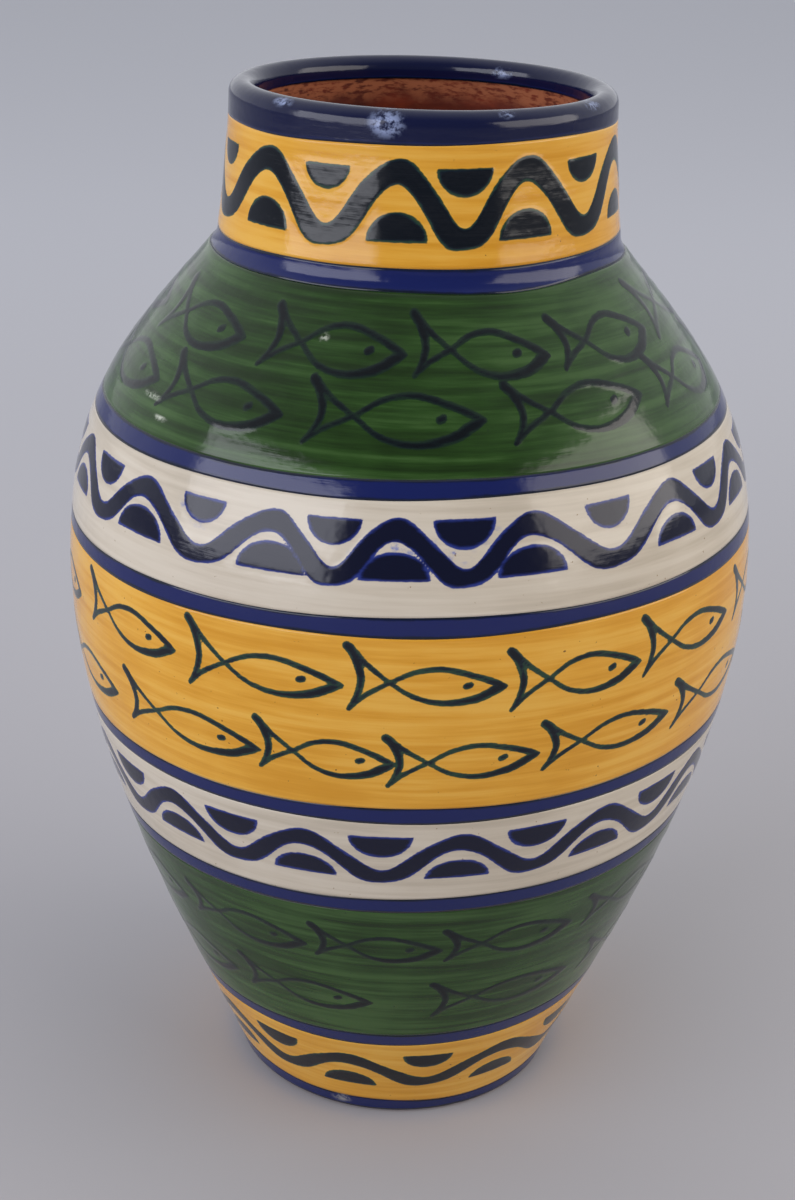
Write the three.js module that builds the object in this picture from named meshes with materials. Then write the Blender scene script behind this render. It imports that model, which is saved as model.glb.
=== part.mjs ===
// A wheel-thrown earthenware vase. The body and the collar neck are thrown apart and luted together
// with slip, and the outside is then coated with glaze in bands of colour. The inside stays bare.
// Millimetres, +Z up, with the origin at the middle of the foot, on the surface it stands on.
import * as THREE from 'three';

// Outline, measured over the glaze
const HEIGHT = 320;
const FOOT_RADIUS = 53.1;
const FOOT_LEAN = 13; // degrees from upright where the wall leaves the foot
const FOOT_REACH = 16; // how far up that lean is felt
const BELLY_RADIUS = 104.8;
const BELLY_HEIGHT = 175.1;
const FULLNESS_BELOW = 67.9; // how far below the widest line the wall stays nearly upright
const FULLNESS_ABOVE = 53.6;
const SHOULDER_RADIUS = 61.5;
const SHOULDER_HEIGHT = 273.1; // the seam of body and neck
const SHOULDER_SLOPE = 50.5; // degrees from level where the shoulder reaches the neck
const SHOULDER_REACH = 36.6;
const NECK_FOOT_RADIUS = 58.6;
const CREASE_HEIGHT = 6; // the slip-smoothed crease between shoulder and neck
const CREASE_TURN = 2.1; // height in the crease where it turns upright
const NECK_HOLLOW = 0.5; // how far the neck's side curves in from a straight line
const RIM_RADIUS = 55.3;
const LIP_THICKNESS = 7.9;

// Clay and glaze thickness
const COAT = 0.6;
const BOND = 0.05; // the thin layer between clay and glaze, which keeps them two solids
const WALL = 7;
const FLOOR = 9;
const FLOOR_CORNER = 14; // radius between the inner wall and the floor
const FOOT_RECESS = 3;
const FOOT_RING_WIDTH = 8;
const FOOT_BEVEL = 1;

// Glaze bands, from the foot up, by their height on the wall
const BARE_EDGE = 1.2;
const LINE_WIDTH = 5.2;
const FOOT_YELLOW_WIDTH = 31;
const LOWER_GREEN_WIDTH = 58;
const LOWER_WHITE_WIDTH = 29.2;
const BELLY_YELLOW_WIDTH = 52.7;
const UPPER_WHITE_WIDTH = 29.9;
const NECK_LINE_WIDTH = 6.6;
const RIM_BLUE_WIDTH = 8.6; // down from the lip, outside
const RIM_BLUE_INSIDE = 2.5; // down from where the lip's curve ends, inside

// Fineness of the turned surfaces
const FACETS = 40;
const WALL_STEP = 12;
const INNER_STEP = 24;
const CREASE_STEP = 2.4;
const LIP_STEPS = 8;
const CORNER_STEPS = 4;

const LIP_RADIUS = LIP_THICKNESS / 2;
const LIP_BASE = HEIGHT - LIP_RADIUS;
const BORE_RADIUS = RIM_RADIUS - LIP_THICKNESS + COAT + BOND;
const FLOOR_TOP = FOOT_RECESS + FLOOR;

function glaze(colour, roughness) {
  return new THREE.MeshStandardMaterial({ color: colour, roughness, metalness: 0 });
}

const terracotta = glaze(0x7a3f26, 0.85);
const cobalt = glaze(0x1f2c6e, 0.2);
const yellow = glaze(0xd9a341, 0.2);
const green = glaze(0x46603a, 0.2);
const white = glaze(0xd3cec3, 0.2);

const at = (radius, height) => new THREE.Vector2(radius, height);

// The outside as four curves, each one rising all the way: foot to belly, belly to shoulder,
// the crease, and the hollow side of the neck
function outlineCurves() {
  const lean = THREE.MathUtils.degToRad(FOOT_LEAN);
  const slope = THREE.MathUtils.degToRad(SHOULDER_SLOPE);
  const foot = at(FOOT_RADIUS, 0);
  const footPull = at(FOOT_RADIUS + FOOT_REACH * Math.sin(lean), FOOT_REACH * Math.cos(lean));
  const belly = at(BELLY_RADIUS, BELLY_HEIGHT);
  const bellyPullDown = at(BELLY_RADIUS, BELLY_HEIGHT - FULLNESS_BELOW);
  const bellyPullUp = at(BELLY_RADIUS, BELLY_HEIGHT + FULLNESS_ABOVE);
  const shoulder = at(SHOULDER_RADIUS, SHOULDER_HEIGHT);
  const shoulderPull = at(
    SHOULDER_RADIUS + SHOULDER_REACH * Math.cos(slope),
    SHOULDER_HEIGHT - SHOULDER_REACH * Math.sin(slope),
  );
  const neckFoot = at(NECK_FOOT_RADIUS, SHOULDER_HEIGHT + CREASE_HEIGHT);
  const crease = at(NECK_FOOT_RADIUS, SHOULDER_HEIGHT + CREASE_TURN);
  const neckTop = at(RIM_RADIUS, LIP_BASE);
  const neckPull = at(
    (neckFoot.x + neckTop.x) / 2 - 2 * NECK_HOLLOW,
    (neckFoot.y + neckTop.y) / 2,
  );
  return [
    new THREE.CubicBezierCurve(foot, footPull, bellyPullDown, belly),
    new THREE.CubicBezierCurve(belly, bellyPullUp, shoulderPull, shoulder),
    new THREE.QuadraticBezierCurve(shoulder, crease, neckFoot),
    new THREE.QuadraticBezierCurve(neckFoot, neckPull, neckTop),
  ];
}

const outline = outlineCurves();

// The point of the wall that lies a depth under the glazed surface, square to it, at a height
function inset(height, depth) {
  const curve = outline.find((part) => height <= part.getPoint(1).y) ?? outline.at(-1);
  let low = 0;
  let high = 1;
  while (high - low > 1e-9) {
    const middle = (low + high) / 2;
    if (curve.getPoint(middle).y < height) low = middle;
    else high = middle;
  }
  const point = curve.getPoint(high);
  const rise = curve.getTangent(high);
  return at(point.x - depth * rise.y, point.y + depth * rise.x);
}

// Heights from one edge to another, evenly spaced, with both edges in
function heights(from, to, step) {
  const count = Math.max(1, Math.ceil((to - from) / step));
  return Array.from({ length: count + 1 }, (_, i) => THREE.MathUtils.lerp(from, to, i / count));
}

// Bands are stacked on each other, so each starts where the one below it ends
function stackBands(start, rows) {
  let edge = start;
  return rows.map(([name, material, width, step]) => {
    const band = { name, material, heights: heights(edge, edge + width, step) };
    edge += width;
    return band;
  });
}

const belowShoulder = stackBands(BARE_EDGE, [
  ['glaze_base_line', cobalt, LINE_WIDTH, WALL_STEP],
  ['glaze_foot_yellow', yellow, FOOT_YELLOW_WIDTH, WALL_STEP],
  ['glaze_line_under_green', cobalt, LINE_WIDTH, WALL_STEP],
  ['glaze_lower_green', green, LOWER_GREEN_WIDTH, WALL_STEP],
  ['glaze_line_over_green', cobalt, LINE_WIDTH, WALL_STEP],
  ['glaze_lower_white', white, LOWER_WHITE_WIDTH, WALL_STEP],
  ['glaze_line_under_belly', cobalt, LINE_WIDTH, WALL_STEP],
  ['glaze_belly_yellow', yellow, BELLY_YELLOW_WIDTH, WALL_STEP],
  ['glaze_line_over_belly', cobalt, LINE_WIDTH, WALL_STEP],
  ['glaze_upper_white', white, UPPER_WHITE_WIDTH, WALL_STEP],
  ['glaze_line_under_shoulder', cobalt, LINE_WIDTH, WALL_STEP],
]);
const shoulderFoot = belowShoulder.at(-1).heights.at(-1);
const bodyBands = [
  ...belowShoulder,
  {
    name: 'glaze_shoulder_green',
    material: green,
    heights: heights(shoulderFoot, SHOULDER_HEIGHT, WALL_STEP),
  },
];
const neckLineTop = SHOULDER_HEIGHT + NECK_LINE_WIDTH;
const rimBlueFoot = HEIGHT - RIM_BLUE_WIDTH;
const neckBands = [
  {
    name: 'glaze_neck_line',
    material: cobalt,
    heights: heights(SHOULDER_HEIGHT, neckLineTop, CREASE_STEP),
  },
  {
    name: 'glaze_neck_yellow',
    material: yellow,
    heights: heights(neckLineTop, rimBlueFoot, WALL_STEP),
  },
];

// The clay under a stack of bands: their heights joined, with each shared edge taken once
function clayUnder(bands) {
  const all = bands.flatMap((band, i) => (i === 0 ? band.heights : band.heights.slice(1)));
  return all.map((height) => inset(height, COAT + BOND));
}

// A half circle over the lip, from outside to inside, without its first point
function lipArc(radius) {
  return Array.from({ length: LIP_STEPS }, (_, i) => {
    const angle = (Math.PI * (i + 1)) / LIP_STEPS;
    const middle = RIM_RADIUS - LIP_RADIUS;
    return at(middle + radius * Math.cos(angle), LIP_BASE + radius * Math.sin(angle));
  });
}

const seam = inset(SHOULDER_HEIGHT, COAT + BOND);
const seamBore = at(NECK_FOOT_RADIUS - WALL, seam.y);

// The inside of the neck narrows evenly from the seam to the lip
function bore(height) {
  const rise = (height - seam.y) / (LIP_BASE - seam.y);
  return at(THREE.MathUtils.lerp(seamBore.x, BORE_RADIUS, rise), height);
}

// Thrown body: turned foot ring, outside under the glaze, seam face, and the inside down to the floor
function bodyProfile() {
  const outside = clayUnder(bodyBands);
  const ringOuter = outside[0].x - FOOT_BEVEL;
  const ringInner = ringOuter - FOOT_RING_WIDTH;
  const inside = heights(FLOOR_TOP + FLOOR_CORNER, SHOULDER_HEIGHT - WALL, INNER_STEP)
    .map((height) => inset(height, WALL))
    .reverse();
  const wallFoot = inside.at(-1);
  const corner = new THREE.QuadraticBezierCurve(
    wallFoot,
    at(wallFoot.x, FLOOR_TOP).sub(at(FLOOR_CORNER / 4, 0)),
    at(wallFoot.x - FLOOR_CORNER, FLOOR_TOP),
  );
  return [
    at(0, FOOT_RECESS),
    at(ringInner - FOOT_BEVEL, FOOT_RECESS),
    at(ringInner, 0),
    at(ringOuter, 0),
    ...outside,
    seamBore,
    ...inside,
    ...corner.getPoints(CORNER_STEPS).slice(1),
    at(0, FLOOR_TOP),
  ];
}

// Thrown collar: it stands on the seam face and ends in a rounded lip
function neckProfile() {
  const outside = clayUnder([
    ...neckBands,
    { heights: heights(rimBlueFoot, LIP_BASE, WALL_STEP) },
  ]);
  return [
    ...outside,
    ...lipArc(LIP_RADIUS - COAT - BOND),
    bore(LIP_BASE - RIM_BLUE_INSIDE),
    seamBore,
    outside[0],
  ];
}

// A coat of glaze, from its lower edge up and back down the clay it sits on
function coatProfile(band) {
  const surface = band.heights.map((height) => inset(height, 0));
  const back = band.heights.map((height) => inset(height, COAT)).reverse();
  return [...surface, ...back, surface[0]];
}

// The rim's coat goes over the lip and a little way down inside
function rimCoatProfile() {
  const rise = heights(rimBlueFoot, LIP_BASE, WALL_STEP);
  const surface = rise.map((height) => inset(height, 0));
  const back = rise.map((height) => inset(height, COAT)).reverse();
  const edge = bore(LIP_BASE - RIM_BLUE_INSIDE);
  return [
    ...surface,
    ...lipArc(LIP_RADIUS),
    at(edge.x - BOND - COAT, edge.y),
    at(edge.x - BOND, edge.y),
    ...lipArc(LIP_RADIUS - COAT).reverse(),
    ...back,
    surface[0],
  ];
}

// Turns a profile on the wheel's axis, then stands it up along Z
function turned(name, profile, material) {
  const geometry = new THREE.LatheGeometry(profile, FACETS).rotateX(Math.PI / 2);
  const mesh = new THREE.Mesh(geometry, material);
  mesh.name = name;
  return mesh;
}

const body = new THREE.Group();
body.add(turned('clay_body', bodyProfile(), terracotta));
for (const band of bodyBands) {
  body.add(turned(band.name, coatProfile(band), band.material));
}

const neck = new THREE.Group();
neck.add(turned('clay_neck', neckProfile(), terracotta));
for (const band of neckBands) {
  neck.add(turned(band.name, coatProfile(band), band.material));
}
neck.add(turned('glaze_rim_blue', rimCoatProfile(), cobalt));

const vase = new THREE.Group();
vase.add(body, neck);

export default vase;
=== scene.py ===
# %% [markdown]
# A hand-painted earthenware vase. The clay is thrown on a wheel, glazed in bands, and painted with
# waves, half-moons and line fish. This lesson dresses a finished frame of the vase: each band of
# glaze is one thin shell, and the brushwork is worked out as a distance in millimetres from the
# middle of every stroke, so that its edges stay sharp and its paint can bleed and thin out.

# %% Load the frame
import math

import bpy
import numpy as np
from mathutils import Matrix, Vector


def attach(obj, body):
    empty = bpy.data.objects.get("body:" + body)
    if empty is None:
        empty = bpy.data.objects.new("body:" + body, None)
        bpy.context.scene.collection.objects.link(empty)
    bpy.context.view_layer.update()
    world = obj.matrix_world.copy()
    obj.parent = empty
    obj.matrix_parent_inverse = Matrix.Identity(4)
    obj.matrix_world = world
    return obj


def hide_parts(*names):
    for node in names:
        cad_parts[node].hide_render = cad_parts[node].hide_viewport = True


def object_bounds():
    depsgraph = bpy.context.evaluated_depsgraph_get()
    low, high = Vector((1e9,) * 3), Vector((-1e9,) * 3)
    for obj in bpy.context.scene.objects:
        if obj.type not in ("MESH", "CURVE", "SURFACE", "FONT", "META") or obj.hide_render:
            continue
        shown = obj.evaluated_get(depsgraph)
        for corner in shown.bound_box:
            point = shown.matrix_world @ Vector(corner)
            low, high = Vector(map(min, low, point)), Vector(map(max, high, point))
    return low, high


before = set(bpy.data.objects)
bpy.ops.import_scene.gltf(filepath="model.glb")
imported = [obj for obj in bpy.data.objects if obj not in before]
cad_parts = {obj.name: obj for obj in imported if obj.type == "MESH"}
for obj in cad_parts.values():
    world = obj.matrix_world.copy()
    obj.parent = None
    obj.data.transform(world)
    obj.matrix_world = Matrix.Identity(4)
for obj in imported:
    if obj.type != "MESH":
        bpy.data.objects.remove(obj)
cad_box = [list(corner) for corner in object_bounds()]
MM = 0.001
rng = np.random.default_rng(7)
print("frame nodes:", len(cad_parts))

# %% [markdown]
# The camera stands in front of the vase, a little above its lip, and looks down on the shoulder.
# Its place was worked out from the outline of the mouth, the belly and the foot in the photograph.

# %% Camera
EYE = (0.0, -557.16, 401.41)
PITCH, YAW, ROLL = math.radians(23.547), math.radians(-0.3126), math.radians(1.784)
FOCAL_PX, FRAME_H = 1910.8, 1200.0
SENSOR = 36.0


def aim_camera():
    """Right, up and back directions from pitch down, yaw and roll, as a camera matrix."""
    ahead = np.array([math.sin(YAW) * math.cos(PITCH), math.cos(YAW) * math.cos(PITCH), -math.sin(PITCH)])
    right = np.array([math.cos(YAW), -math.sin(YAW), 0.0])
    up = np.cross(right, ahead)
    c, s = math.cos(ROLL), math.sin(ROLL)
    right, up = c * right + s * up, c * up - s * right
    data = bpy.data.cameras.new("camera")
    data.sensor_fit = "VERTICAL"
    data.sensor_height = SENSOR
    data.lens = SENSOR * FOCAL_PX / FRAME_H
    eye = bpy.data.objects.new("camera", data)
    bpy.context.scene.collection.objects.link(eye)
    turn = Matrix(np.column_stack([right, up, -ahead]).tolist()).to_4x4()
    eye.matrix_world = Matrix.Translation([v * MM for v in EYE]) @ turn
    bpy.context.scene.camera = eye


aim_camera()
print("camera set")

# %% [markdown]
# The outline is the curve that a potter's rib would follow: two curves that meet upright at the
# belly, a small crease where the collar is luted on, a hollow neck and a half-round lip. The widest
# radius and the height come from the frame. Each curve is a Bezier, because its pulls are the
# directions in which a potter leans the wall.

# %% Sizes of the wall, in mm, with its leanings in radians
BELLY_R = round(cad_box[1][0] / MM, 1)
HEIGHT = round(cad_box[1][2] / MM, 1)
FOOT_R, FOOT_LEAN, FOOT_PULL = 53.1, math.radians(13), 16.0
BELLY_Z, BELLY_PULL_DOWN, BELLY_PULL_UP = 175.1, 67.9, 53.6
SHOULDER_R, SHOULDER_Z = 61.5, 273.1
SHOULDER_SLOPE, SHOULDER_PULL = math.radians(50.5), 36.6
NECK_R, CREASE_RISE, CREASE_PULL, NECK_HOLLOW = 58.6, 6.0, 2.1, 1.0
RIM_R, LIP = 55.3, 7.9
LIP_BASE = HEIGHT - LIP / 2
COAT, BOND, WALL_T = 0.6, 0.05, 7.0
RIM_INSIDE = 2.5
print("belly radius and height from the frame, mm:", BELLY_R, HEIGHT)


# %% Outline of the wall
def bezier(points, n=500):
    """A Bezier curve of any degree: repeated straight blends between neighbouring points."""
    t = np.linspace(0, 1, n)[:, None]
    rows = [np.tile(np.array(p, float), (n, 1)) for p in points]
    while len(rows) > 1:
        rows = [(1 - t) * a + t * b for a, b in zip(rows, rows[1:])]
    return rows[0]


def wall_outline():
    """Foot to belly, belly to shoulder, crease, neck side, lip half circle, short way down inside."""
    foot_pull = (FOOT_R + FOOT_PULL * math.sin(FOOT_LEAN), FOOT_PULL * math.cos(FOOT_LEAN))
    shoulder_pull = (SHOULDER_R + SHOULDER_PULL * math.cos(SHOULDER_SLOPE),
                     SHOULDER_Z - SHOULDER_PULL * math.sin(SHOULDER_SLOPE))
    neck_foot, neck_top = (NECK_R, SHOULDER_Z + CREASE_RISE), (RIM_R, LIP_BASE)
    neck_pull = ((NECK_R + RIM_R) / 2 - NECK_HOLLOW, (neck_foot[1] + neck_top[1]) / 2)
    turn = np.linspace(0, math.pi, 200)
    middle = RIM_R - LIP / 2
    lip = np.column_stack([middle + LIP / 2 * np.cos(turn), LIP_BASE + LIP / 2 * np.sin(turn)])
    inside = np.array([[RIM_R - LIP, LIP_BASE - d] for d in np.linspace(0.1, RIM_INSIDE, 20)])
    parts = [
        bezier([(FOOT_R, 0), foot_pull, (BELLY_R, BELLY_Z - BELLY_PULL_DOWN), (BELLY_R, BELLY_Z)]),
        bezier([(BELLY_R, BELLY_Z), (BELLY_R, BELLY_Z + BELLY_PULL_UP), shoulder_pull,
                (SHOULDER_R, SHOULDER_Z)]),
        bezier([(SHOULDER_R, SHOULDER_Z), (NECK_R, SHOULDER_Z + CREASE_PULL), neck_foot]),
        bezier([neck_foot, neck_pull, neck_top]),
        lip,
        inside,
    ]
    return np.vstack([parts[0]] + [p[1:] for p in parts[1:]])


# %% [markdown]
# The outline is kept as tables of radius, height and direction against the length along the wall.
# A place on the wall is then a length and a depth, and a coat of glaze is the same length at another
# depth, square to the surface.

# %% Tables along the wall
WALL = wall_outline()
ALONG = np.concatenate([[0], np.cumsum(np.hypot(*np.diff(WALL, axis=0).T))])
RISE = np.gradient(WALL, ALONG, axis=0)
RISE /= np.linalg.norm(RISE, axis=1)[:, None]
CREST = int(np.argmax(WALL[:, 1]))


def length_at(z):
    """The length along the outside wall at a height."""
    return np.interp(z, WALL[:CREST, 1], ALONG[:CREST])


def on_wall(s, depth):
    """Radius and height at a length along the wall, moved a depth inwards, square to the surface."""
    r, z = np.interp(s, ALONG, WALL[:, 0]), np.interp(s, ALONG, WALL[:, 1])
    tr, tz = np.interp(s, ALONG, RISE[:, 0]), np.interp(s, ALONG, RISE[:, 1])
    return r - depth * tz, z + depth * tr


print("wall length over the glaze, mm:", round(float(ALONG[-1]), 1))

# %% [markdown]
# The edges of the bands are cut in with a brush while the vase turns, so they tilt a little and
# wander by a few tenths of a millimetre. Low waves with fixed random phases give that wander.

# %% Painted edges: height and tilt towards +X in mm, from the foot up
EDGES = [
    (1.2, 0.0), (6.4, -0.3), (37.4, 2.1), (42.8, 2.2), (100.8, 3.3), (106.1, 2.8), (135.2, 2.3),
    (140.4, 2.2), (193.0, 2.6), (198.1, 2.6), (228.0, 2.2), (232.7, 1.6), (273.8, 0.4),
    (279.8, 1.0), (311.4, 1.1),
]
WANDER, FOOT_WANDER = 0.22, 0.05
WAVES = 7
wander_phase = rng.uniform(0, 2 * math.pi, (len(EDGES), WAVES))


def edge_height(i, a):
    """Height of painted edge i at angle a: its level, its tilt and its small wander."""
    z, tilt = EDGES[i]
    waves = sum(np.sin((k + 2) * a + wander_phase[i, k]) / (k + 2) ** 0.5 for k in range(WAVES))
    amount = FOOT_WANDER if i == 0 else WANDER
    return z + tilt * np.sin(a) + amount * waves


# %% [markdown]
# Every stroke is kept as a depth: how many millimetres a point lies inside the painted edge. A wave
# is a swinging centre line and a half-moon is a half ellipse. The material later turns the depth
# into a dark core, a brighter bleeding edge and bare glaze.

# %% Waves and half-moons: crests in degrees from the front, everything else in mm
NO_INK, FULL_INK = -3.0, 4.0
NECK_WAVE = dict(crests=[-47, -6, 30, 73], more=4, mid=296.0, swing=8.7, half=3.1, tilt=1.0,
                 top=305.6, low=286.4, moon=(7.2, 7.0), low_moon=(8.0, 7.6))
UPPER_WAVE = dict(crests=[-71, -47, -21, -2, 19, 47, 70], more=8, mid=214.8, swing=6.2, half=2.75,
                  tilt=2.4, top=223.4, low=208.0, moon=(7.8, 7.2), low_moon=(9.4, 7.4))
LOWER_WAVE = dict(crests=[-68, -42, -16, 10, 36, 62], more=8, mid=121.7, swing=6.2, half=2.75,
                  tilt=2.5, top=130.4, low=114.6, moon=(8.6, 7.2), low_moon=(10.0, 7.4))
FOOT_WAVE = dict(crests=[-57, -13, 33, 78], more=4, mid=22.4, swing=5.4, half=2.6,
                 tilt=1.0, top=31.6, low=14.2, moon=(8.6, 7.0), low_moon=(8.6, 6.6))


def close_ring(front, more):
    """Adds evenly spaced angles from the last one given round the back to the first."""
    gap = (front[0] + 360 - front[-1]) / (more + 1)
    jitter = rng.uniform(-0.06, 0.06, more) * gap
    back = front[-1] + gap * np.arange(1, more + 1) + jitter
    return np.concatenate([front, back])


def half_moon(x, y, wide, high):
    """Depth inside a half ellipse that stands on a straight edge: the nearer of edge and curve."""
    curve = 1 - np.sqrt((x / wide) ** 2 + (np.maximum(y, 0) / high) ** 2)
    return np.minimum(y, curve * high * 0.9)


def wave_depth(a, z, r, w):
    """A swinging cosine line, with a half-moon in each trough and under each crest.

    The gap to the line is the height over it, shortened by the slope of the line. The brush swells
    and thins by a tenth along the wave, and the half-moons differ a little in size.
    """
    deg = np.degrees(a)
    knots = np.concatenate([w["ring"] - 360, w["ring"], w["ring"] + 360])
    middles = (knots[1:] + knots[:-1]) / 2
    phase = 2 * math.pi * np.interp(deg, knots, np.arange(len(knots)))
    pitch = np.clip(np.interp(deg, middles, np.diff(knots)), 5, 90)
    slope = w["swing"] * np.sin(phase) * 2 * math.pi / np.maximum(np.radians(pitch) * r, 1)
    level = z - w["tilt"] * np.sin(a)
    off = (level - w["mid"] - w["swing"] * np.cos(phase)) / np.sqrt(1 + slope ** 2)
    depth = w["half"] * (1 + 0.1 * np.sin(3 * phase + 1)) - np.abs(off)
    for spots, flat, side, size in ((middles, w["top"], -1, w["moon"]), (knots, w["low"], 1, w["low_moon"])):
        near = spots[np.abs(deg[..., None] - spots).argmin(-1)]
        x = np.radians(deg - near) * r
        grow = 1 + 0.07 * np.sin(near * 1.7)
        depth = np.maximum(depth, half_moon(x, side * (level - flat), size[0] * grow, size[1] * grow))
    return depth


for wave in (NECK_WAVE, UPPER_WAVE, LOWER_WAVE, FOOT_WAVE):
    wave["ring"] = close_ring(np.array(wave["crests"], float), wave["more"])
    print("crests round the pot:", len(wave["ring"]))

# %% [markdown]
# A fish is three brush strokes and a dot: a belly line and a back line that cross behind the body,
# and a tail. The brush is pressed harder near the nose. The same strokes make every fish, stretched
# between its tail and its nose, because the painter drew them all with one habit of the hand. At
# the front, each tail and nose was taken from the photograph and turned to an angle and a height
# through the camera, and so were the crests of the waves. Those round the back are guessed.

# %% Fish: tail angle and nose angle in degrees, tail height, nose height and tail span in mm
FISH_ROWS = {
    "shoulder_high": dict(tilt=1.6, more=5, front=[
        (-70, -39, 261.6, 260.1, 13.0), (-33, -2, 261.9, 260.3, 13.3), (0, 29, 262.4, 258.3, 13.2),
        (32, 61, 260.4, 258.3, 11.0)]),
    "shoulder_low": dict(tilt=1.6, more=5, front=[
        (-88, -56, 246.3, 245.0, 13.0), (-53, -24, 246.3, 245.0, 13.0), (-19, 13, 246.8, 245.7, 13.8),
        (18, 48, 246.3, 245.5, 12.6), (54, 80, 246.9, 243.6, 12.2)]),
    "belly_high": dict(tilt=2.4, more=7, front=[
        (-86, -66, 181.0, 178.0, 15.0), (-60, -37, 182.1, 179.3, 14.9), (-34, -9, 180.8, 178.8, 19.0),
        (-8, 15, 181.2, 178.2, 17.9), (16, 38, 179.2, 177.3, 16.9), (39, 62, 180.7, 177.9, 16.9),
        (66, 88, 180.5, 178.0, 16.0)]),
    "belly_low": dict(tilt=2.4, more=7, front=[
        (-77, -53, 157.5, 155.5, 15.0), (-49, -22, 158.2, 155.5, 15.4), (-22, -1, 157.9, 155.3, 15.1),
        (-2, 21, 156.0, 155.9, 15.3), (22, 46, 157.5, 156.4, 14.6), (48, 74, 157.6, 155.8, 15.0)]),
    "green_high": dict(tilt=2.7, more=7, front=[
        (-76, -49, 86.0, 83.5, 12.0), (-46, -18, 86.1, 83.5, 11.0), (-16, 9, 86.1, 84.0, 12.7),
        (10, 37, 85.5, 84.2, 12.4), (41, 68, 86.0, 84.0, 12.0)]),
    "green_low": dict(tilt=2.7, more=6, front=[
        (-71, -40, 61.0, 59.0, 13.0), (-36, -5, 62.0, 59.2, 13.1), (9, 43, 60.2, 59.1, 15.1),
        (49, 80, 60.5, 59.0, 13.0)]),
}
BODY_HALF = 5.3
FINE_BRUSH = 0.85
SPACE_AFTER, SPACE_BEFORE, SPACE_BETWEEN = 4, 3, 3.5


def smooth_path(points, per_span=7):
    """A Catmull-Rom path: each span is a cubic that leaves its ends along their neighbours."""
    p = np.array([points[0]] + list(points) + [points[-1]], float)
    t = np.linspace(0, 1, per_span, endpoint=False)[:, None]
    rows = []
    for a, b, c, d in zip(p, p[1:], p[2:], p[3:]):
        rows.append(0.5 * (2 * b + (c - a) * t + (2 * a - 5 * b + 4 * c - d) * t ** 2
                           + (3 * b - a - 3 * c + d) * t ** 3))
    return np.vstack(rows + [p[-1:]])


def fish_strokes(high, plump):
    """Fish from tail to nose as x from 0 to 1 and y in mm, each point with its brush half width."""
    h, b, w = high / 2, BODY_HALF * plump, FINE_BRUSH
    belly = [(0.0, h, 1.3 * w), (0.1, 0.55 * h, w), (0.27, -0.3, 0.8 * w), (0.42, -0.75 * b, 0.9 * w),
             (0.6, -b, 1.1 * w), (0.8, -0.72 * b, 1.5 * w), (0.93, -0.2 * b, 1.6 * w), (1.0, 0, 0.6 * w)]
    back = [(0.0, -h, 0.8 * w), (0.1, -0.5 * h, 0.9 * w), (0.27, 0.3, 0.8 * w), (0.42, 0.72 * b, 0.9 * w),
            (0.6, 0.95 * b, w), (0.8, 0.6 * b, 1.1 * w), (0.93, 0.22 * b, 1.2 * w), (1.0, 0, 0.7 * w)]
    tail = [(-0.02, h + 0.3, 1.5 * w), (0.035, 0.7 * h, 1.5 * w), (0.075, 0.05 * h, 1.3 * w),
            (0.05, -0.55 * h, 1.1 * w), (0.0, -h, 0.8 * w)]
    eye = [(0.74, 0.1, 1.15 * w), (0.765, 0.5, 1.15 * w)]
    return [smooth_path(s) for s in (belly, back, tail, eye)]


# %% Painting a fish
def add_fish(depth, a, z, r, fish, tilt):
    """Raises the depth near one fish to brush half width less the distance to each stroke.

    Only points within five degrees and seven millimetres of the fish are looked at.
    """
    tail_deg, nose_deg, tail_z, nose_z, high = fish
    middle = math.radians((tail_deg + nose_deg) / 2)
    turn = (a - middle + math.pi) % (2 * math.pi) - math.pi
    reach = math.radians((nose_deg - tail_deg) / 2 + 5)
    near = (np.abs(turn) < reach) & (np.abs(z - (tail_z + nose_z) / 2) < high / 2 + 7)
    if not near.any():
        return
    x, y, radius = turn[near] * r[near], z[near], r[near]
    best = depth[near]
    plump = 0.94 + 0.12 * ((tail_deg * 0.37) % 1.0)
    for path in fish_strokes(high, plump):
        angle = math.radians(tail_deg) + math.radians(nose_deg - tail_deg) * path[:, 0]
        across = (angle - middle)[:, None] * radius[None]
        level = tail_z + (nose_z - tail_z) * path[:, 0] + path[:, 1] + tilt * np.sin(angle)
        for i in range(len(path) - 1):
            dx, dy = across[i + 1] - across[i], level[i + 1] - level[i]
            t = ((x - across[i]) * dx + (y - level[i]) * dy) / (dx * dx + dy * dy + 1e-9)
            t = np.clip(t, 0, 1)
            gap = np.hypot(x - across[i] - t * dx, y - level[i] - t * dy)
            best = np.maximum(best, path[i, 2] * (1 - t) + path[i + 1, 2] * t - gap)
    depth[near] = best


def fill_row(row):
    """The fish that the photograph shows, and like ones round the back."""
    front = row["front"]
    start = front[-1][1] + SPACE_AFTER
    stop = front[0][0] + 360 - SPACE_BEFORE
    step = (stop - start) / row["more"]
    level = np.mean([f[2] for f in front])
    back = []
    for i in range(row["more"]):
        tail_deg = start + step * i + rng.uniform(-1, 1)
        span = np.mean([f[4] for f in front]) * rng.uniform(0.92, 1.1)
        rise = rng.uniform(-0.8, 0.8)
        nose_z = level + rise - rng.uniform(1, 3)
        back.append((tail_deg, tail_deg + step - SPACE_BETWEEN, level + rise, nose_z, span))
    return front + back


for row in FISH_ROWS.values():
    row["all"] = fill_row(row)
print("fish painted:", sum(len(row["all"]) for row in FISH_ROWS.values()))

# %% [markdown]
# An old vase is chipped and rubbed at its lip and foot, and wet cobalt is sometimes touched before
# it dries. Both are soft oval spots. They are kept as values on the surface, high in the middle of
# a spot, and the material breaks them up.

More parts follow.
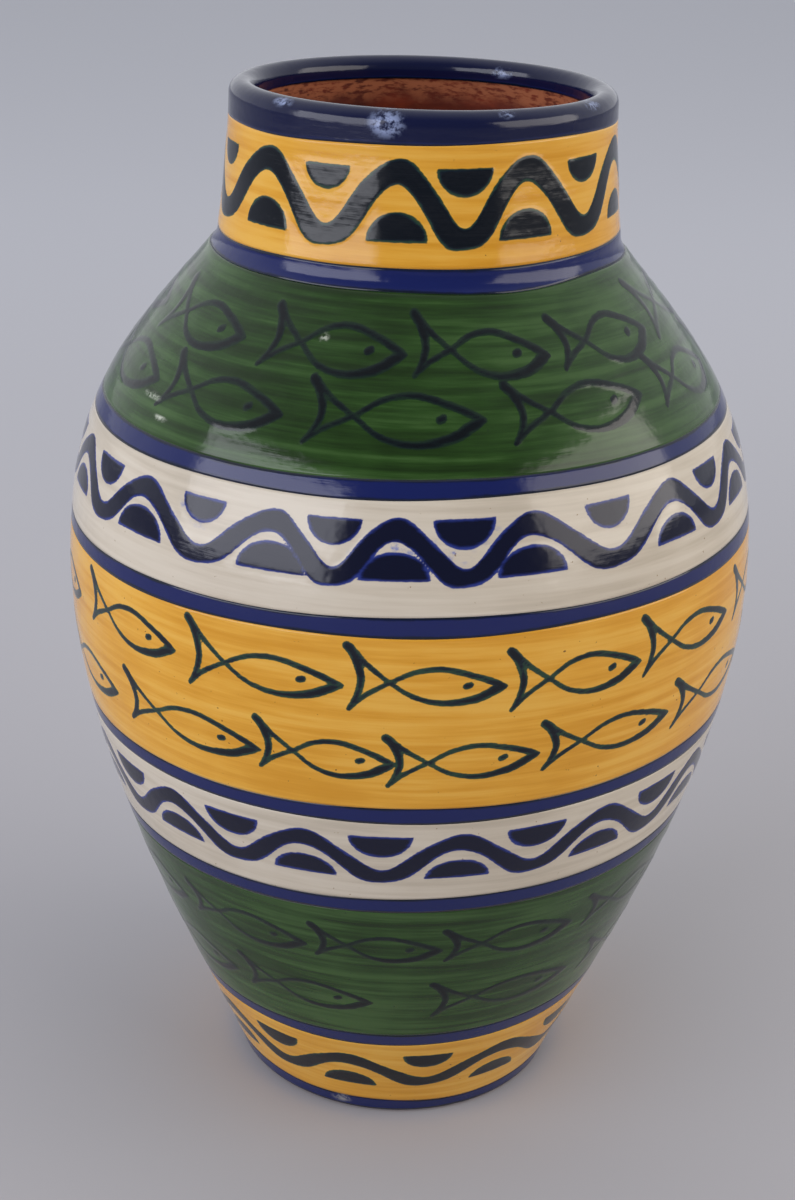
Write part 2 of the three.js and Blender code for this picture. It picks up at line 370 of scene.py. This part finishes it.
# %% Worn and smeared places: angle in degrees, height, half width and half height in mm
WORN = [
    (-10, 316.6, 3.6, 2.6), (-44, 318.9, 2.6, 0.7), (58, 318.9, 2.6, 0.9), (-17, 4.4, 2.4, 1.6),
    (-20, 262.5, 0.9, 0.7), (-55, 240.0, 3.4, 0.5), (-50, 236.0, 2.4, 0.4), (24, 319.2, 1.6, 0.6),
    (150, 317.0, 2.6, 1.2), (120, 3.5, 2.2, 1.2), (200, 4.0, 2.0, 1.1),
]
SMEARED = [
    (-1, 218.0, 4.6, 3.4), (5, 215.0, 6.0, 2.6), (-6, 213.0, 4.0, 3.2), (12, 219.5, 3.6, 1.6),
    (-36, 219.0, 4.0, 2.2), (-34, 216.0, 2.6, 1.6), (171, 216.0, 6.0, 2.6),
]
SPOT_FADE = 1.6


def spots(a, z, r, places):
    """One well inside each spot, from there falling to nothing at SPOT_FADE times its size."""
    amount = np.zeros_like(z)
    for deg, level, wide, high in places:
        turn = (a - math.radians(deg) + math.pi) % (2 * math.pi) - math.pi
        far = np.sqrt((turn * r / wide) ** 2 + ((z - level) / high) ** 2)
        amount = np.maximum(amount, np.clip(SPOT_FADE - far, 0, 1))
    return amount


def hand_turned(a, z):
    """How far the thrown wall is out of round, in mm: slow waves round and up the pot."""
    return (0.16 * np.sin(2 * a + z / 60) + 0.1 * np.sin(3 * a - z / 45 + 1)
            + 0.05 * np.sin(z / 3.1 + 0.5 * np.sin(a)))


print("worn places:", len(WORN), "smeared places:", len(SMEARED))


# %% [markdown]
# Everything on this vase is turned, so one function makes every mesh: a grid of radius, height and
# angle, closed both round the pot and round its section. A band is a very long strip, so its bake
# map cuts it into equal sectors and stacks them, which keeps the map near to square.

# %% One closed ring
SIDE_GAP, STACK_GAP = 0.004, 0.01


def ring_mesh(name, r, z, a, marks):
    """Point (i, j) is (r sin a, -r cos a, z). Rows and columns both wrap round to their start."""
    rows, cols = r.shape
    co = np.stack([r * np.sin(a), -r * np.cos(a), z], -1).reshape(-1, 3) * MM
    i, j = np.meshgrid(np.arange(rows), np.arange(cols), indexing="ij")
    i2, j2 = (i + 1) % rows, (j + 1) % cols
    quads = np.stack([i * cols + j, i * cols + j2, i2 * cols + j2, i2 * cols + j], -1).reshape(-1, 4)
    mesh = bpy.data.meshes.new(name)
    mesh.vertices.add(len(co))
    mesh.vertices.foreach_set("co", co.ravel())
    mesh.loops.add(quads.size)
    mesh.loops.foreach_set("vertex_index", quads.ravel())
    mesh.polygons.add(len(quads))
    mesh.polygons.foreach_set("loop_start", np.arange(0, quads.size, 4))
    mesh.update()
    mesh.polygons.foreach_set("use_smooth", np.ones(len(quads), bool))
    mesh.uv_layers.new(name="OFBake").data.foreach_set("uv", stacked_map(r, z, i, j).ravel())
    for label, values in marks.items():
        mesh.attributes.new(label, "FLOAT", "POINT").data.foreach_set("value", values.ravel())
    mesh.validate()
    piece = bpy.data.objects.new(name, mesh)
    bpy.context.scene.collection.objects.link(piece)
    return piece


def stacked_map(r, z, i, j):
    """Map corners of each quad: as many stacked sectors as make the strip about square."""
    rows, cols = r.shape
    tall = float(np.hypot(np.diff(r[:, 0]), np.diff(z[:, 0])).sum())
    stack = max(1, round(math.sqrt(2 * math.pi * r.max() / tall)))
    while cols % stack:
        stack -= 1
    per = cols // stack
    sector = j // per
    left = j - sector * per
    u = np.stack([left, left + 1, left + 1, left], -1) / per
    v = np.stack([i, i, i + 1, i + 1], -1) / rows
    u = SIDE_GAP + (1 - 2 * SIDE_GAP) * u
    v = (sector[..., None] + STACK_GAP + (1 - 2 * STACK_GAP) * v) / stack
    return np.stack([u, v], -1)


# %% [markdown]
# A band of glaze is a thin closed shell: a fine grid over the wall between its two painted edges,
# and a coarse grid back along the clay. Fired paint stands a tenth of a millimetre proud, so the
# fine grid rises with the depth of the stroke.

# %% Shells of glaze
GRID = 0.66
BACK_COARSER = 9
RELIEF = 0.11
SLOPE_MM = 0.5
RIM_MARGIN = 3


def widest_radius(low, high):
    """The largest radius of the wall between two painted edges, or over the lip."""
    bottom = EDGES[low][0]
    if high is None:
        return WALL[WALL[:, 1] >= bottom - RIM_MARGIN][:, 0].max()
    top = EDGES[high][0]
    ends = np.interp([bottom, top], WALL[:CREST, 1], WALL[:CREST, 0])
    return max(ends.max(), BELLY_R if bottom < BELLY_Z < top else 0)


def glaze_band(name, low, high, painter):
    """A shell from painted edge low to painted edge high, or over the lip where high is None."""
    cols = int(round(2 * math.pi * widest_radius(low, high) / GRID / 24)) * 24
    a = np.linspace(0, 2 * math.pi, cols, endpoint=False) - math.pi
    s0 = length_at(edge_height(low, a))
    s1 = np.full(cols, ALONG[-1]) if high is None else length_at(edge_height(high, a))
    front = int(max(8, round(float((s1 - s0).mean()) / GRID)))
    back = max(3, front // BACK_COARSER)
    share = np.concatenate([np.linspace(0, 1, front), np.linspace(1, 0, back)])[:, None]
    outside = np.arange(front + back)[:, None] < front
    s = s0[None] + (s1 - s0)[None] * share
    turn = np.tile(a, (front + back, 1))
    r, z = on_wall(s, np.where(outside, 0.0, COAT))
    if painter:
        ink = np.full(r.shape, NO_INK)
        ink[:front] = painter(turn[:front], z[:front], r[:front])
        ink = np.clip(ink, NO_INK, FULL_INK)
        lift = RELIEF * np.clip(ink / SLOPE_MM + 0.5, 0, 1)
    else:
        ink = np.where(outside, (s1 - s0)[None] * np.minimum(share, 1 - share), 0)
        ink = np.clip(ink, NO_INK, FULL_INK)
        lift = 0.0
    r = r + np.where(outside, lift, 0) + hand_turned(turn, z)
    marks = {"ink": ink, "worn": spots(turn, z, r, WORN), "smeared": spots(turn, z, r, SMEARED)}
    return ring_mesh(name, r, z, turn, marks)


# %% [markdown]
# Fifteen bands cover the vase. The plain cobalt lines between them are bands too, and their ink is
# the distance to the nearer edge, so a line is darkest along its middle. The lip has its own blue,
# which is thicker and darker.

# %% Brushwork of each band
def fish_painter(*names):
    """A painter that lays the named rows of fish."""
    def paint(a, z, r):
        depth = np.full(r.shape, NO_INK)
        for name in names:
            for fish in FISH_ROWS[name]["all"]:
                add_fish(depth, a, z, r, fish, FISH_ROWS[name]["tilt"])
        return depth
    return paint


def wave_painter(wave):
    """A painter that lays one wave with its half-moons."""
    return lambda a, z, r: wave_depth(a, z, r, wave)


# name of the shell, its two edges, its brushwork, and what it is glazed with
BANDS = [
    ("base_line", 0, 1, None, "cobalt"),
    ("foot_yellow", 1, 2, wave_painter(FOOT_WAVE), "yellow"),
    ("line_under_green", 2, 3, None, "cobalt"),
    ("lower_green", 3, 4, fish_painter("green_high", "green_low"), "green"),
    ("line_over_green", 4, 5, None, "cobalt"),
    ("lower_white", 5, 6, wave_painter(LOWER_WAVE), "white"),
    ("line_under_belly", 6, 7, None, "cobalt"),
    ("belly_yellow", 7, 8, fish_painter("belly_high", "belly_low"), "yellow"),
    ("line_over_belly", 8, 9, None, "cobalt"),
    ("upper_white", 9, 10, wave_painter(UPPER_WAVE), "white"),
    ("line_under_shoulder", 10, 11, None, "cobalt"),
    ("shoulder_green", 11, 12, fish_painter("shoulder_high", "shoulder_low"), "green"),
    ("neck_line", 12, 13, None, "cobalt"),
    ("neck_yellow", 13, 14, wave_painter(NECK_WAVE), "yellow"),
    ("rim_blue", 14, None, None, "rim"),
]
print("bands:", len(BANDS))


# %% [markdown]
# Colours are written as on a screen and turned to linear light by one function. One small function
# adds a node with its settings and links. Every surface starts the same way: a shader, object
# coordinates, and a few noises whose grains are given in millimetres round the pot and up it.

# %% Colours, nodes and grains
SOFT = dict(interpolation_type="SMOOTHSTEP")


def linear(code):
    """An sRGB hex colour as linear red, green, blue and full alpha."""
    parts = [int(code[i:i + 2], 16) / 255 for i in (1, 3, 5)]
    return tuple(c / 12.92 if c <= 0.04045 else ((c + 0.055) / 1.055) ** 2.4 for c in parts) + (1.0,)


def add(tree, kind, links=(), stops=(), **settings):
    """Adds a node with its settings, its inputs as values or other outputs, and its colour stops.

    Inputs go by name or number. Colour stops give the two ends first and then what lies between.
    """
    made = tree.nodes.new(kind)
    for key, value in settings.items():
        setattr(made, key, value)
    for socket, value in dict(links).items():
        if isinstance(value, bpy.types.NodeSocket):
            tree.links.new(value, made.inputs[socket])
        else:
            made.inputs[socket].default_value = value
    for i, (place, code) in enumerate(stops):
        bar = made.color_ramp.elements
        item = bar[i] if i < 2 else bar.new(place)
        item.position = place
        item.color = linear(code)
    return made


def new_surface(name, grains):
    """A material with its tree, its shader, and its fields: object coordinates and each noise."""
    mat = bpy.data.materials.new(name)
    mat.use_nodes = True
    tree = mat.node_tree
    where = add(tree, "ShaderNodeTexCoord").outputs["Object"]
    field = {"where": where}
    for label, (round_mm, up_mm, octaves, rough, start) in grains.items():
        per_metre = (1 / (round_mm * MM), 1 / (round_mm * MM), 1 / (up_mm * MM))
        place = add(tree, "ShaderNodeMapping", {0: where, "Scale": per_metre, "Location": (start,) * 3})
        field[label] = add(tree, "ShaderNodeTexNoise", {
            "Vector": place.outputs[0], "Scale": 1.0, "Detail": octaves, "Roughness": rough}).outputs[0]
    return mat, tree, tree.nodes["Principled BSDF"], field


# %% [markdown]
# Tin glaze over red clay fires to a thick glossy skin, so it is coloured earthenware glaze with a
# low roughness and an index a little under that of window glass. Brushed bands keep streaks that
# run round the pot. A stroke of cobalt is dark in its core and brighter where it thins at the edge,
# and where it is worn the pale ground looks through.

# %% Glaze: grain round the pot and up it in mm, octaves, roughness, and its start in the noise
GLAZE_GRAINS = {
    "streak": (62.5, 2.632, 5, 0.6, 0.0),         # marks of a broad brush
    "cloud": (45.45, 45.45, 3, 0.55, 6.82),       # thick and thin places in the coat
    "speck": (1.4286, 1.4286, 2, 0.55, 539.0),    # iron spots that rise out of the clay
    "smear": (3.846, 2.404, 5, 0.65, 156.0),      # patches where wet cobalt was touched
    "fray": (2.222, 0.7937, 3, 0.55, 0.0),        # uneven edge of a stroke on dry glaze
    "pool": (16.67, 2.0, 4, 0.55, 0.5),           # thick and thin paint along a stroke
    "rub": (2.381, 2.381, 6, 0.7, 84.0),          # ragged loss at a chip
    "peel": (6.25, 6.25, 2, 0.55, 144.0),         # slow dimples of fired glaze
    "bristle": (25.0, 1.667, 3, 0.55, 0.4),       # fine lines left by the brush
}
CLOUD_SHARE = 0.4
COAT_STEP, SPECK_STEP, SMEAR_STEP, RUB_STEP = (0.36, 0.64), (0.735, 0.78), (0.46, 0.68), (0.42, 0.6)
FRAY_MM, POOL_MM = 0.5, 1.6
EDGE_MM, CORE_MM = (-0.16, 0.14), 1.6
SMEAR_BLUE = "#5d6fb0"
GLAZE_ROUGHNESS, GLAZE_IOR = 0.13, 1.4
DIMPLE, DIMPLE_M, BRISTLE_SHARE = 0.16, 0.0007, 0.3


def glossy_glaze(name, ground, stroke, worn_to, speck="#5a3a1c"):
    """Three tones of ground, the core, middle and bleeding edge of a stroke, and the worn colour."""
    mat, tree, shader, field = new_surface(name, GLAZE_GRAINS)
    core, middle, bleed = stroke

    # ground: brush streaks over thick and thin places
    cloud = add(tree, "ShaderNodeMath", {0: field["cloud"], 1: CLOUD_SHARE}, operation="MULTIPLY").outputs[0]
    coat = add(tree, "ShaderNodeMath", {0: field["streak"], 1: 1 - CLOUD_SHARE, 2: cloud},
               operation="MULTIPLY_ADD").outputs[0]
    coat = add(tree, "ShaderNodeMapRange", {0: coat, 1: COAT_STEP[0], 2: COAT_STEP[1]}, **SOFT).outputs[0]
    colour = add(tree, "ShaderNodeValToRGB", {0: coat},
                 stops=[(0.0, ground[0]), (1.0, ground[2]), (0.5, ground[1])]).outputs[0]

    # specks, then patches of smeared cobalt
    specks = add(tree, "ShaderNodeMapRange", {0: field["speck"], 1: SPECK_STEP[0], 2: SPECK_STEP[1]},
                 **SOFT).outputs[0]
    colour = add(tree, "ShaderNodeMix", {0: specks, 6: colour, 7: linear(speck)},
                 data_type="RGBA").outputs[2]
    smeared = add(tree, "ShaderNodeAttribute", attribute_name="smeared").outputs["Fac"]
    patchy = add(tree, "ShaderNodeMapRange", {0: field["smear"], 1: SMEAR_STEP[0], 2: SMEAR_STEP[1]},
                 **SOFT).outputs[0]
    smear = add(tree, "ShaderNodeMath", {0: smeared, 1: patchy}, operation="MULTIPLY").outputs[0]
    colour = add(tree, "ShaderNodeMix", {0: smear, 6: colour, 7: linear(SMEAR_BLUE)},
                 data_type="RGBA").outputs[2]

    # strokes: the depth in mm, frayed for the edge and pooled for the tone
    ink = add(tree, "ShaderNodeAttribute", attribute_name="ink").outputs["Fac"]
    fray = add(tree, "ShaderNodeMath", {0: field["fray"], 1: 0.5}, operation="SUBTRACT").outputs[0]
    frayed = add(tree, "ShaderNodeMath", {0: fray, 1: FRAY_MM, 2: ink}, operation="MULTIPLY_ADD").outputs[0]
    pool = add(tree, "ShaderNodeMath", {0: field["pool"], 1: 0.5}, operation="SUBTRACT").outputs[0]
    pooled = add(tree, "ShaderNodeMath", {0: pool, 1: POOL_MM, 2: frayed},
                 operation="MULTIPLY_ADD").outputs[0]
    tone = add(tree, "ShaderNodeMapRange", {0: pooled, 1: 0.0, 2: CORE_MM}, **SOFT).outputs[0]
    paint = add(tree, "ShaderNodeValToRGB", {0: tone},
                stops=[(0.0, bleed), (1.0, core), (0.3, middle), (0.62, core)]).outputs[0]
    edge = add(tree, "ShaderNodeMapRange", {0: frayed, 1: EDGE_MM[0], 2: EDGE_MM[1]}, **SOFT).outputs[0]
    colour = add(tree, "ShaderNodeMix", {0: edge, 6: colour, 7: paint}, data_type="RGBA").outputs[2]

    # worn places break through ground and stroke alike
    worn = add(tree, "ShaderNodeAttribute", attribute_name="worn").outputs["Fac"]
    ragged = add(tree, "ShaderNodeMapRange", {0: field["rub"], 1: RUB_STEP[0], 2: RUB_STEP[1]},
                 **SOFT).outputs[0]
    rubbed = add(tree, "ShaderNodeMath", {0: worn, 1: ragged}, operation="MULTIPLY").outputs[0]
    colour = add(tree, "ShaderNodeMix", {0: rubbed, 6: colour, 7: linear(worn_to)},
                 data_type="RGBA").outputs[2]

    # skin: slow dimples and fine brush lines under the gloss
    skin = add(tree, "ShaderNodeMath", {0: field["bristle"], 1: BRISTLE_SHARE, 2: field["peel"]},
               operation="MULTIPLY_ADD").outputs[0]
    bump = add(tree, "ShaderNodeBump", {"Height": skin, "Strength": DIMPLE, "Distance": DIMPLE_M})
    tree.links.new(colour, shader.inputs["Base Color"])
    tree.links.new(bump.outputs[0], shader.inputs["Normal"])
    shader.inputs["Roughness"].default_value = GLAZE_ROUGHNESS
    shader.inputs["IOR"].default_value = GLAZE_IOR
    return mat


# %% [markdown]
# Each glaze is named for the oxide that colours it. Antimony gives an opaque warm yellow, copper a
# deep green that shows every brush mark, tin a creamy white that takes the cobalt most crisply.

# %% Five glazes
glazes = {
    "yellow": glossy_glaze("antimony_yellow_glaze", ("#cb8e26", "#d79d36", "#deaa48"),
                           ("#0a1018", "#101c26", "#26402f"), "#b9824a"),
    "green": glossy_glaze("copper_green_glaze", ("#182c0d", "#264218", "#3a572a"),
                          ("#060c10", "#0b1518", "#16281c"), "#b9bfae", speck="#20301c"),
    "white": glossy_glaze("tin_white_glaze", ("#b8ad9b", "#c3b8a6", "#cbc1b0"),
                          ("#0b0f26", "#131b4a", "#28367c"), "#9a8f80", speck="#8a7458"),
    "cobalt": glossy_glaze("cobalt_line_glaze", ("#11173a", "#161f50", "#1e2a66"),
                           ("#141e54", "#10183a", "#0e1720"), "#8b8a8c", speck="#2c3a6c"),
    "rim": glossy_glaze("cobalt_rim_glaze", ("#0d1330", "#121a42", "#1c2860"),
                        ("#0e1436", "#121b46", "#121a2c"), "#8f9cc0", speck="#4a5a90"),
}
print("glazes:", ", ".join(glazes))

# %% Fire the bands
total = 0
for name, low, high, painter, finish in BANDS:
    shell = glaze_band(name, low, high, painter)
    shell.data.materials.append(glazes[finish])
    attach(shell, "root")
    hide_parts("glaze_" + name)
    total += 2 * len(shell.data.polygons)
print("glaze triangles:", total)

# %% [markdown]
# Under the glaze is red earthenware. Only the inside and the underside of the foot show it. The
# inside keeps the ridges of the potter's fingers, a finger's width apart. Each clay piece is one
# closed profile turned round the axis, as it would be on the wheel.

# %% Thrown clay
FOOT_RING, RECESS, FLOOR_TOP, CORNER = 8.0, 3.0, 12.0, 14.0
RIDGE_PITCH, RIDGE = 8.5, 0.2
RIPPLE, RIPPLE_MM = 0.25, 1.6
AXIS_R = 0.02


def finger_ridges(z):
    """Small rounded ridges left by fingers as the wall was pulled up."""
    return RIDGE * np.abs(np.sin(math.pi * z / RIDGE_PITCH)) ** 0.7


def inner_bore(z):
    """Radius inside the neck, an even taper from the seam to the lip."""
    return np.interp(z, [SHOULDER_Z - 0.4, LIP_BASE], [NECK_R - WALL_T, RIM_R - LIP + COAT + BOND])


def clay_piece(name, profile, cols):
    """Turns a closed profile round the axis, a little out of round, with ring_mesh."""
    a = np.linspace(0, 2 * math.pi, cols, endpoint=False) - math.pi
    r = np.repeat(profile[:, :1], cols, 1)
    z = np.repeat(profile[:, 1:], cols, 1)
    turn = np.tile(a, (len(profile), 1))
    r = r + hand_turned(turn, z) * np.clip(r / 40, 0, 1)
    return ring_mesh(name, r, z, turn, {})


def body_profile():
    """Foot ring, outside under the glaze, seam, ridged inside, floor, and a pin-hole at the axis."""
    s = np.linspace(length_at(EDGES[0][0]), length_at(SHOULDER_Z), 110)
    outside = np.column_stack(on_wall(s, COAT + BOND))
    ring = outside[0, 0] - 1.0
    step = ring - FOOT_RING
    s = np.linspace(length_at(SHOULDER_Z - WALL_T), length_at(FLOOR_TOP + CORNER), 330)
    inside = np.column_stack(on_wall(s, WALL_T))
    inside[:, 0] += finger_ridges(inside[:, 1])
    foot = inside[-1]
    corner = bezier([foot, (foot[0] - CORNER / 4, FLOOR_TOP), (foot[0] - CORNER, FLOOR_TOP)], 24)[1:]
    floor_r = np.linspace(corner[-1, 0] - 1, AXIS_R, 60)
    floor_z = FLOOR_TOP + RIPPLE * np.sin(floor_r / RIPPLE_MM)
    under = [(AXIS_R, RECESS), (step - 8, RECESS), (step - 1.4, RECESS - 0.2), (step - 0.4, 0.5),
             (step, 0), (ring - 0.3, 0), (ring, 0.12)]
    seam = [(NECK_R - WALL_T, outside[-1, 1])]
    return np.vstack([under, outside, seam, inside, corner, np.column_stack([floor_r, floor_z])])


def neck_profile():
    """Outside under the glaze, rounded lip, and the ridged inside down to the seam."""
    s = np.linspace(length_at(SHOULDER_Z), length_at(LIP_BASE), 60)
    outside = np.column_stack(on_wall(s, COAT + BOND))
    turn = np.linspace(0.1, math.pi, 24)
    middle, reach = RIM_R - LIP / 2, LIP / 2 - COAT - BOND
    lip = np.column_stack([middle + reach * np.cos(turn), LIP_BASE + reach * np.sin(turn)])
    z = np.linspace(LIP_BASE - RIM_INSIDE, outside[0, 1] + 0.01, 90)
    fade = np.clip((LIP_BASE - 3 - z) / 6, 0, 1)
    inside = np.column_stack([inner_bore(z) + finger_ridges(z) * fade, z])
    return np.vstack([outside, lip, inside])


# %% [markdown]
# Low-fired red earthenware is matt and drinks light. It is darker where it was wiped with slip, and
# paler in a ragged strip just under the lip. That strip is bare clay above the line where the inside
# was glazed, with painted light added, because the top of the inside is lit and the deeper inside is not.

# %% Terracotta: grain round the pot and up it in mm, octaves, roughness, and its start in the noise
CLAY_GRAINS = {
    "wipe": (16.67, 6.667, 6, 0.6, 0.0),          # marks of the sponge
    # ragged and streaky edge of the paler strip under the lip, which is bare clay with painted light
    "ragged": (11.11, 11.11, 5, 0.55, 0.0),       # uneven lower edge of the dust
    "bare_and_lit": (3.333, 1.111, 5, 0.55, 180.0),       # dust in streaks
    "pit": (1.25, 1.25, 4, 0.55, 0.0),            # pores of bare clay
}
BARE_LIT_HEIGHT, BARE_LIT_RAGGED, BARE_LIT_STEP = (0.312, 0.317), 0.012, (0.36, 0.55)
BARE_LIT_TONE = "#a8603c"
CLAY_ROUGHNESS = 0.82
PIT, PIT_M = 0.12, 0.0003


def terracotta():
    """Fired red clay in three tones, paler above a ragged height near the lip: bare clay with painted light.
    """
    mat, tree, shader, field = new_surface("bare_terracotta", CLAY_GRAINS)
    clay_tone = add(tree, "ShaderNodeValToRGB", {0: field["wipe"]},
                    stops=[(0.3, "#4a1504"), (0.7, "#8a3210"), (0.5, "#6c2309")]).outputs[0]
    # painted light: a paler strip of bare clay at the top of the inside, where light reaches and the deeper
    # inside lies in shade
    height = add(tree, "ShaderNodeSeparateXYZ", {0: field["where"]}).outputs[2]
    level = add(tree, "ShaderNodeMath", {0: field["ragged"], 1: BARE_LIT_RAGGED, 2: height},
                operation="MULTIPLY_ADD").outputs[0]
    high_up = add(tree, "ShaderNodeMapRange", {0: level, 1: BARE_LIT_HEIGHT[0], 2: BARE_LIT_HEIGHT[1]},
                  **SOFT).outputs[0]
    streaky = add(tree, "ShaderNodeMapRange", {0: field["bare_and_lit"], 1: BARE_LIT_STEP[0], 2: BARE_LIT_STEP[1]},
                  **SOFT).outputs[0]
    bare_and_lit = add(tree, "ShaderNodeMath", {0: high_up, 1: streaky}, operation="MULTIPLY").outputs[0]
    colour = add(tree, "ShaderNodeMix", {0: bare_and_lit, 6: clay_tone, 7: linear(BARE_LIT_TONE)},
                 data_type="RGBA").outputs[2]
    bump = add(tree, "ShaderNodeBump", {"Height": field["pit"], "Strength": PIT, "Distance": PIT_M})
    tree.links.new(colour, shader.inputs["Base Color"])
    tree.links.new(bump.outputs[0], shader.inputs["Normal"])
    shader.inputs["Roughness"].default_value = CLAY_ROUGHNESS
    return mat


# %% Fit the clay
clay = terracotta()
for name, node, profile, cols in (("thrown_body", "clay_body", body_profile(), 168),
                                  ("thrown_neck", "clay_neck", neck_profile(), 240)):
    piece = clay_piece(name, profile, cols)
    piece.data.materials.append(clay)
    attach(piece, "root")
    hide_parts(node)
    print(name, "triangles:", 2 * len(piece.data.polygons))

# %% [markdown]
# A plain pale floor reaches far behind the vase, so it is the whole background. It is matt painted
# board, with painted shade in its colour: darker near the vase and the camera, paler in the distance,
# so that the foot stands out from it.

# %% Floor
BOARD_HALF = 12.0
SHADED_NEAR, LIT_FAR = -0.3, 1.4
BOARD_ROUGHNESS, BOARD_SHEEN = 0.9, 0.1


def floor():
    """One square, flat on z = 0, with painted shade graded along y: darker near, paler far away."""
    h = BOARD_HALF
    mesh = bpy.data.meshes.new("floor")
    mesh.from_pydata([(-h, -h, 0), (h, -h, 0), (h, h, 0), (-h, h, 0)], [], [(0, 1, 2, 3)])
    plane = bpy.data.objects.new("floor", mesh)
    bpy.context.scene.collection.objects.link(plane)
    mat, tree, shader, field = new_surface("pale_matt_board", {})
    # painted shade: the board's colour darkens towards the camera and the vase and pales far off, as the
    # light falls across it
    away = add(tree, "ShaderNodeSeparateXYZ", {0: field["where"]}).outputs[1]
    far = add(tree, "ShaderNodeMapRange", {0: away, 1: SHADED_NEAR, 2: LIT_FAR}, **SOFT).outputs[0]
    tone = add(tree, "ShaderNodeValToRGB", {0: far}, stops=[(0.0, "#b0aeb1"), (1.0, "#c8c9cf")]).outputs[0]
    tree.links.new(tone, shader.inputs["Base Color"])
    shader.inputs["Roughness"].default_value = BOARD_ROUGHNESS
    shader.inputs["Specular IOR Level"].default_value = BOARD_SHEEN
    mesh.materials.append(mat)


floor()
print("floor half width, m:", BOARD_HALF)

# %% [markdown]
# The light is soft: a sky that is pale behind the vase and dim behind the camera, as a room is, so
# that the front of the glaze stays deep in colour and its edges glare. A wide low window stands to
# the left and a weaker one to the right. They are low, so that they mirror on the pale upper band
# and leave the green shoulder dark.

# %% Light: places in metres, power in watts
AIM = (0, 0, 0.18)
SKY_NEAR, SKY_FAR, SKY_DIM, SKY_PALE = -0.75, 0.3, "#6d6e74", "#eceef4"
SKY_STRENGTH = 1.0


def window(name, place, wide, high, power, tint):
    """A rectangular soft light at a place, turned towards the middle of the vase."""
    data = bpy.data.lights.new(name, "AREA")
    data.shape = "RECTANGLE"
    data.size, data.size_y = wide, high
    data.energy = power
    data.color = linear(tint)[:3]
    lamp = bpy.data.objects.new(name, data)
    bpy.context.scene.collection.objects.link(lamp)
    away = np.array(place) - np.array(AIM)
    away = away / np.linalg.norm(away)
    right = np.cross([0, 0, 1], away)
    right = right / np.linalg.norm(right)
    turn = Matrix(np.column_stack([right, np.cross(away, right), away]).tolist()).to_4x4()
    lamp.matrix_world = Matrix.Translation(place) @ turn


def room_sky():
    """A world whose colour goes from dim towards -Y to pale towards +Y."""
    sky = bpy.data.worlds.new("sky")
    sky.use_nodes = True
    tree = sky.node_tree
    where = add(tree, "ShaderNodeTexCoord").outputs["Generated"]
    towards = add(tree, "ShaderNodeSeparateXYZ", {0: where}).outputs[1]
    share = add(tree, "ShaderNodeMapRange", {0: towards, 1: SKY_NEAR, 2: SKY_FAR}, **SOFT).outputs[0]
    tone = add(tree, "ShaderNodeMix", {0: share, 6: linear(SKY_DIM), 7: linear(SKY_PALE)},
               data_type="RGBA").outputs[2]
    tree.links.new(tone, tree.nodes["Background"].inputs[0])
    tree.nodes["Background"].inputs[1].default_value = SKY_STRENGTH
    bpy.context.scene.world = sky


window("left_window", (-1.6, -1.3, 0.8), 2.2, 1.3, 38.0, "#f6f7ff")
window("right_window", (1.8, -0.6, 0.8), 2.0, 1.2, 24.0, "#fff8f0")
room_sky()
bpy.context.scene.view_settings.view_transform = "Standard"
print("lights:", len(bpy.data.lights))
